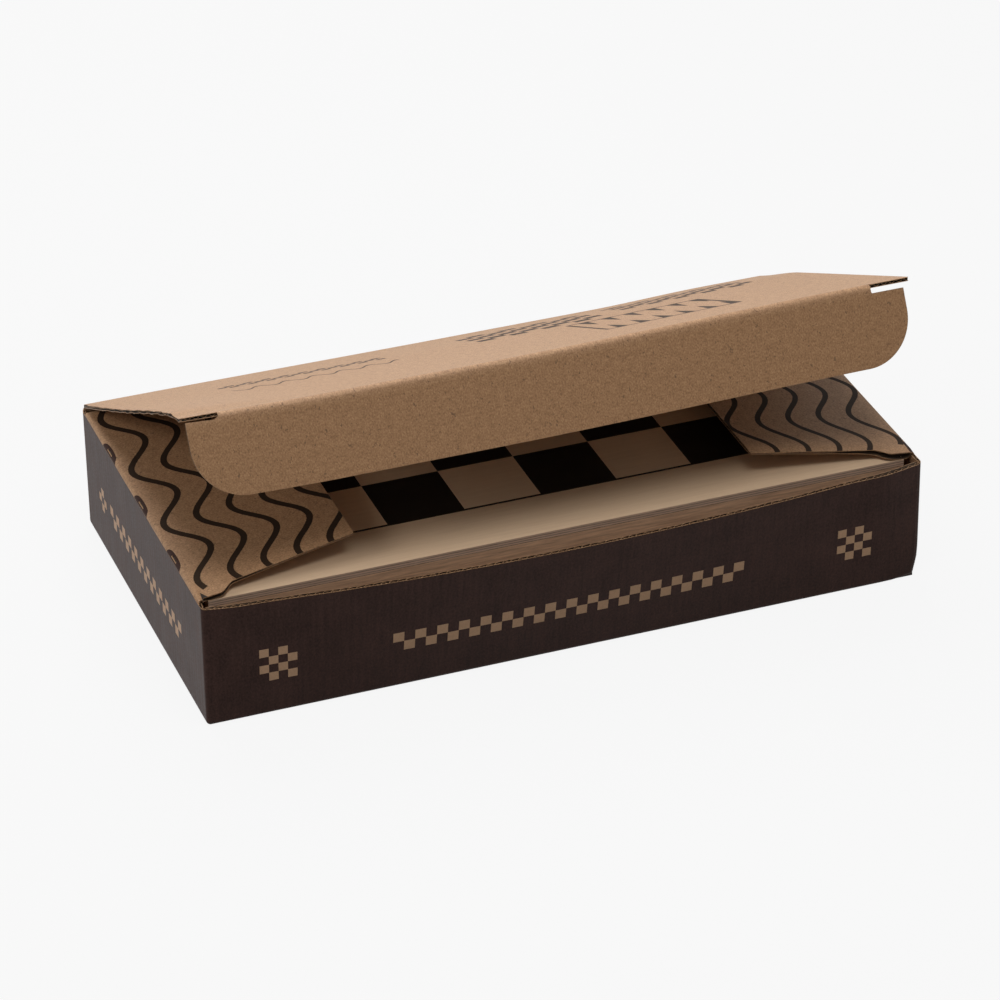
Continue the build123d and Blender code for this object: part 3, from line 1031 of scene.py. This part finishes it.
# Tuck flap with the soft front fold
tuck = {
    "halfWidth": 153.0,
    "height": 33.0,
    "cornerRound": 21.0,
    "slotGap": 0.2,
    "slotSlant": 1.8,
    "leftSlot": (0.6, 1.9, 1.1),  # the crushed slot's height from its inner to its outer end
    "rightSlot": (1.0, 3.0, 3.0),
    "foldRadius": 1.6,
    "crease": (2.0, 0.6, 0.0),
    "paintedShade": (0.5, 4.0, (0.76, 0.71, 0.62)),  # from and to, and the colour of the painted shade
    "ear": (1.0, (96, 153), (0.5, 3.0)),  # the right ear keeps clear of the side wall
    "earShift": 0.1,
}
turned = 180 - carton["tuckFold"]
tangent, arc = bendSizes(turned, tuck["foldRadius"])
tuckGain = tangent - arc / 2
foldY = axisY - carton["lidReach"] * math.cos(opened)
foldZ = axisZ + carton["lidReach"] * math.sin(opened)
foldRun = lid["foldStart"]
tuckPath = foldPath(
    (foldY + foldRun * math.cos(opened), foldZ - foldRun * math.sin(opened)),
    180 - carton["lidOpen"], ((foldRun - tangent, 0), (arc, turned), (200, 0)),
)


def placeOnTuck(u, v, w):
    # v is 0 at the fold's axis, and negative on the lid
    gain = 2 * tuckGain if v > 0 else 0
    y, z, angle = tuckPath(v + foldRun - gain * min(1.0, abs(v) / 2))
    y += w * math.sin(angle)
    z -= w * math.cos(angle)
    warp = lidWarp(u, carton["lidReach"] + min(v, 0.0))
    warp.x -= swell(u, v, *tuck["ear"]) * (warp.x - tuck["earShift"])
    return (Vector((u, y, z)) + warp) * mm


def tuckOutline(layer):
    torn = board["setBack"][layer]
    half = tuck["halfWidth"] - torn
    left, right = (lid[end] - tuck["slotGap"] for end in ("leftSlotFrom", "slotFrom"))
    low = -lid["foldStart"]
    height = tuck["height"] - torn
    r = tuck["cornerRound"]
    slant = tuck["slotSlant"]
    inner, middle, outer = tuck["leftSlot"]
    outline = [(-left, low), (-left, inner), (-left - slant, middle), (-half, outer)]
    outline += arcPoints((-half + r, height - r), r, 180, 90, 24)
    outline += arcPoints((half - r, height - r), r, 90, 0, 24)
    inner, middle, outer = tuck["rightSlot"]
    outline += [(half, outer), (right + slant, middle), (right, inner), (right, low)]
    return [outline]


def tuckCrush(u, v):
    return *creaseCrush(v, *tuck["crease"]), 0.0, 0.0


def paintShadeOnTuck(tree, place, color, fibres):
    # Painted shade on the tuck flap, from just below the fold downwards
    _, v, _ = tree.split(place)
    start, end, shade = tuck["paintedShade"]
    return tree.mix(tree.between(v, start, end), color, shade, "MULTIPLY"), None


tuckBoard = makeBoard(
    "tuckFlap", tuckOutline, placeOnTuck, evenly(-2.0, 3.0, 0.25), evenly(-2.0, 3.0, 0.5),
    makeKraft("tuckFace", paintShadeOnTuck), tuckCrush,
)
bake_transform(tuckBoard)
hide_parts("tuck_flap")
print("tuck flap made")


# Wooden case
caseWood = {
    "shades": ((0.32, (0.80, 0.575, 0.375)), (0.62, (0.86, 0.63, 0.42))),
    "grainNoise": (0.8, 5.0, 0.65, (0.045, 1.0, 1.0)),
    "poreNoise": (1.6, 2.0, 0.6, (0.12, 2.2, 2.2)),
    "pores": (0.62, 0.72, 0.3),  # from, to and share
    "black": (0.006, 0.005, 0.0045),
    "cover": 0.985,
    "topSkin": 0.12,
    "square": (33.1, 32.6),
    "squaresFrom": (0.9, 29.2),  # middle line, and margin in front
    "halfCount": 4.0,
    "line": 1.3,
    "plies": ((0.0, 0.95), (1.05, 0.5), (2.05, 0.6)),  # height and strength of the glue lines
    "plyEdge": ((0.5, 0.355, 0.26), (1.0, 0.73, 0.55)),
    "plyRough": 0.5,
    "plyLine": (0.25, 0.1),
    "glue": (0.1, 0.055, 0.035),
    "specular": 0.35,
    "printLess": -0.27,
}
frameWood = {
    "shades": ((0.32, (0.55, 0.345, 0.22)), (0.66, (0.98, 0.66, 0.42))),
    "grainNoise": (1.0, 5.0, 0.65, (0.05, 1.0, 1.0)),
    "poreNoise": (1.4, 2.0, 0.6, (0.15, 2.0, 2.0)),
    "pores": (0.58, 0.7, 0.4),
    "specular": 0.35,
}
brass = {"rub": (0.8, 3.0, 0.5), "shades": ((0.3, (0.55, 0.36, 0.13)), (0.7, (0.72, 0.5, 0.2)))}


def woodColor(tree, wood, place):
    # Grain, with pores of its darker shade
    grain = tree.noise(place, *wood["grainNoise"])
    pores = tree.noise(place, *wood["poreNoise"])
    low, high, share = wood["pores"]
    marks = tree.times(tree.between(pores, low, high), share)
    color = tree.mix(marks, tree.ramp(grain, wood["shades"]), wood["shades"][0][1])
    return color, grain, pores


def makeCaseTop():
    tree = NodeTree("caseTopPrint")
    place = tree.solidPlace()
    x, y, z = tree.split(place)
    low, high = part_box("upper_board")
    top = tree.more(z, high.z / mm - caseWood["topSkin"])
    color, grain, pores = woodColor(tree, caseWood, place)
    # The printed squares and their border line
    sizeX, sizeY = caseWood["square"]
    middle, margin = caseWood["squaresFrom"]
    half, line = caseWood["halfCount"], caseWood["line"]
    gridX = tree.over(tree.minus(x, middle), sizeX)
    gridY = tree.over(tree.minus(y, low.y / mm + margin), sizeY)
    total = tree.plus(tree.math("FLOOR", gridX), tree.math("FLOOR", gridY))
    dark = tree.less(tree.math("FLOORED_MODULO", total, 2.0), 0.5)
    inside = tree.times(tree.less(tree.size(gridX), half), tree.more(gridY, 0.0))
    lineX = tree.less(tree.size(gridX), half + line / sizeX)
    lineY = tree.more(gridY, -line / sizeY)
    border = tree.minus(tree.times(lineX, lineY), inside)
    printed = tree.either(tree.times(dark, inside), border)
    color = tree.mix(tree.times(printed, caseWood["cover"]), color, caseWood["black"])
    # The edges show the layers of the board
    edge = tree.mix(grain, *caseWood["plyEdge"])
    up = tree.minus(z, low.z / mm)
    rough = tree.scaled(pores, caseWood["plyRough"], tree.minus(up, caseWood["plyRough"] / 2))
    for height, strength in caseWood["plies"]:
        glue = tree.between(tree.size(tree.minus(rough, height)), *caseWood["plyLine"])
        edge = tree.mix(tree.times(glue, strength), edge, caseWood["glue"])
    color = tree.mix(top, edge, color)
    shine = tree.scaled(tree.times(printed, top), caseWood["printLess"], caseWood["specular"])
    return tree.finish(color, 0.45, tree.bump(grain, 0.12, 0.08), shine)


def makeFrameWood():
    tree = NodeTree("frameWood")
    color, grain, _ = woodColor(tree, frameWood, tree.solidPlace())
    return tree.finish(color, 0.6, tree.bump(grain, 0.2, 0.1), frameWood["specular"])


def makeBrass():
    tree = NodeTree("brass")
    rub = tree.noise(tree.solidPlace(), *brass["rub"])
    tree.shader.inputs["Metallic"].default_value = 1.0
    return tree.finish(tree.ramp(rub, brass["shades"]), tree.between(rub, -0.5, 2.5))


def dress(material, *names):
    for name in names:
        slots = nodes[name].data.materials
        if not slots:
            slots.append(material)
        for i in range(len(slots)):
            slots[i] = material


dress(makeCaseTop(), "upper_board", "lower_board")
rails = ("front_rail", "rear_rail", "side_rails")
dress(makeFrameWood(), *(half + "_" + rail for half in ("lower", "upper") for rail in rails))
dress(makeBrass(), "upper_hinge_leaves", "lower_hinge_leaves", "hinge_pins")
dress(kraftSolid, *("base_" + side + "_flap" for side in ("front", "rear", "left", "right")))
print("case and base dressed")


# Floor, light and camera
studio = {
    "azimuth": -20.053,
    "elevation": 30.715,
    "roll": -0.799,
    "focal": 4518.4,  # in pixels of a picture 1000 wide
    "distance": 1897.3,
    "target": (0.98, 0.0, 23.68),
    "sensor": 36.0,
    "floorHalf": 6.0,
    "floorNoise": (0.004, 2.0, 0.5),
    "floorShades": ((0.3, (0.43, 0.43, 0.43)), (0.7, (0.45, 0.45, 0.45))),
    "floorWhite": 0.9,
    "ambient": 0.14,
    "lamps": (
        ("frontSoftbox", (-0.03, -0.34, 1.0), (0, -0.05, 0.05), 0.55, 4.0),
        ("backSoftbox", (0.0, 0.62, 0.95), (0, 0, 0.05), 0.8, 6.8),
        ("leftSoftbox", (-1.25, 0.06, 0.7), (0, 0, 0.05), 0.6, 3.7),
        ("rightSoftbox", (1.25, 0.1, 0.7), (0, 0, 0.05), 0.6, 0.5),
    ),
}


def showPale(tree, pale, share):
    # What the camera sees, also by way of glossy and clear surfaces, is a pale glow
    rays = tree.add("LightPath").outputs
    shown = tree.either(rays["Is Camera Ray"], rays["Is Glossy Ray"])
    shown = tree.either(shown, rays["Is Transmission Ray"])
    if share < 1.0:  # and the rest is the surface, with the shadow on it
        shown = tree.times(shown, share)
    pick = tree.add("MixShader", {0: shown, 1: tree.shader.outputs[0], 2: pale.outputs[0]})
    tree.feed(tree.end.inputs[0], pick.outputs[0])


def makeFloor():
    data = bpy.data.meshes.new("floor")
    half = studio["floorHalf"]
    corners = [(-half, -half, 0), (half, -half, 0), (half, half, 0), (-half, half, 0)]
    data.from_pydata(corners, [], [(0, 1, 2, 3)])
    floor = bpy.data.objects.new("floor", data)
    scene.collection.objects.link(floor)
    tree = NodeTree("floorPaper")
    cloud = tree.noise(tree.solidPlace(), *studio["floorNoise"])
    tree.finish(tree.ramp(cloud, studio["floorShades"]), 0.9, specular=0.1)
    showPale(tree, tree.add("Emission"), studio["floorWhite"])
    data.materials.append(tree.owner)


def addLight(name, spot, aim, size, power):
    data = bpy.data.lights.new(name, "AREA")
    data.shape = "DISK"
    data.size = size
    data.energy = power
    light = bpy.data.objects.new(name, data)
    light.location = spot
    light.rotation_euler = (Vector(aim) - Vector(spot)).to_track_quat("-Z", "Y").to_euler()
    scene.collection.objects.link(light)


def makeWorld():
    tree = NodeTree("studio", bpy.data.worlds, "Background", "World")
    scene.world = tree.owner
    tree.feed(tree.shader.inputs[0], (1, 1, 1, 1))
    tree.feed(tree.shader.inputs[1], studio["ambient"])
    showPale(tree, tree.add("Background", {0: (1, 1, 1, 1)}), 1.0)


def makeCamera():
    az, el = math.radians(studio["azimuth"]), math.radians(studio["elevation"])
    away = Vector((math.sin(az) * math.cos(el), -math.cos(az) * math.cos(el), math.sin(el)))
    data = bpy.data.cameras.new("camera")
    data.sensor_width = studio["sensor"]
    data.sensor_fit = "HORIZONTAL"
    data.lens = studio["focal"] * studio["sensor"] / 1000
    data.clip_start = 0.05
    camera = bpy.data.objects.new("camera", data)
    spot = (Vector(studio["target"]) + away * studio["distance"]) * mm
    facing = (-away).to_track_quat("-Z", "Y").to_matrix().to_4x4()
    rolled = Matrix.Rotation(math.radians(studio["roll"]), 4, "Z")
    camera.matrix_world = Matrix.Translation(spot) @ facing @ rolled
    scene.collection.objects.link(camera)
    scene.camera = camera


makeFloor()
makeWorld()
for lamp in studio["lamps"]:
    addLight(*lamp)
makeCamera()
scene.view_settings.view_transform = "Standard"
print("stage made")
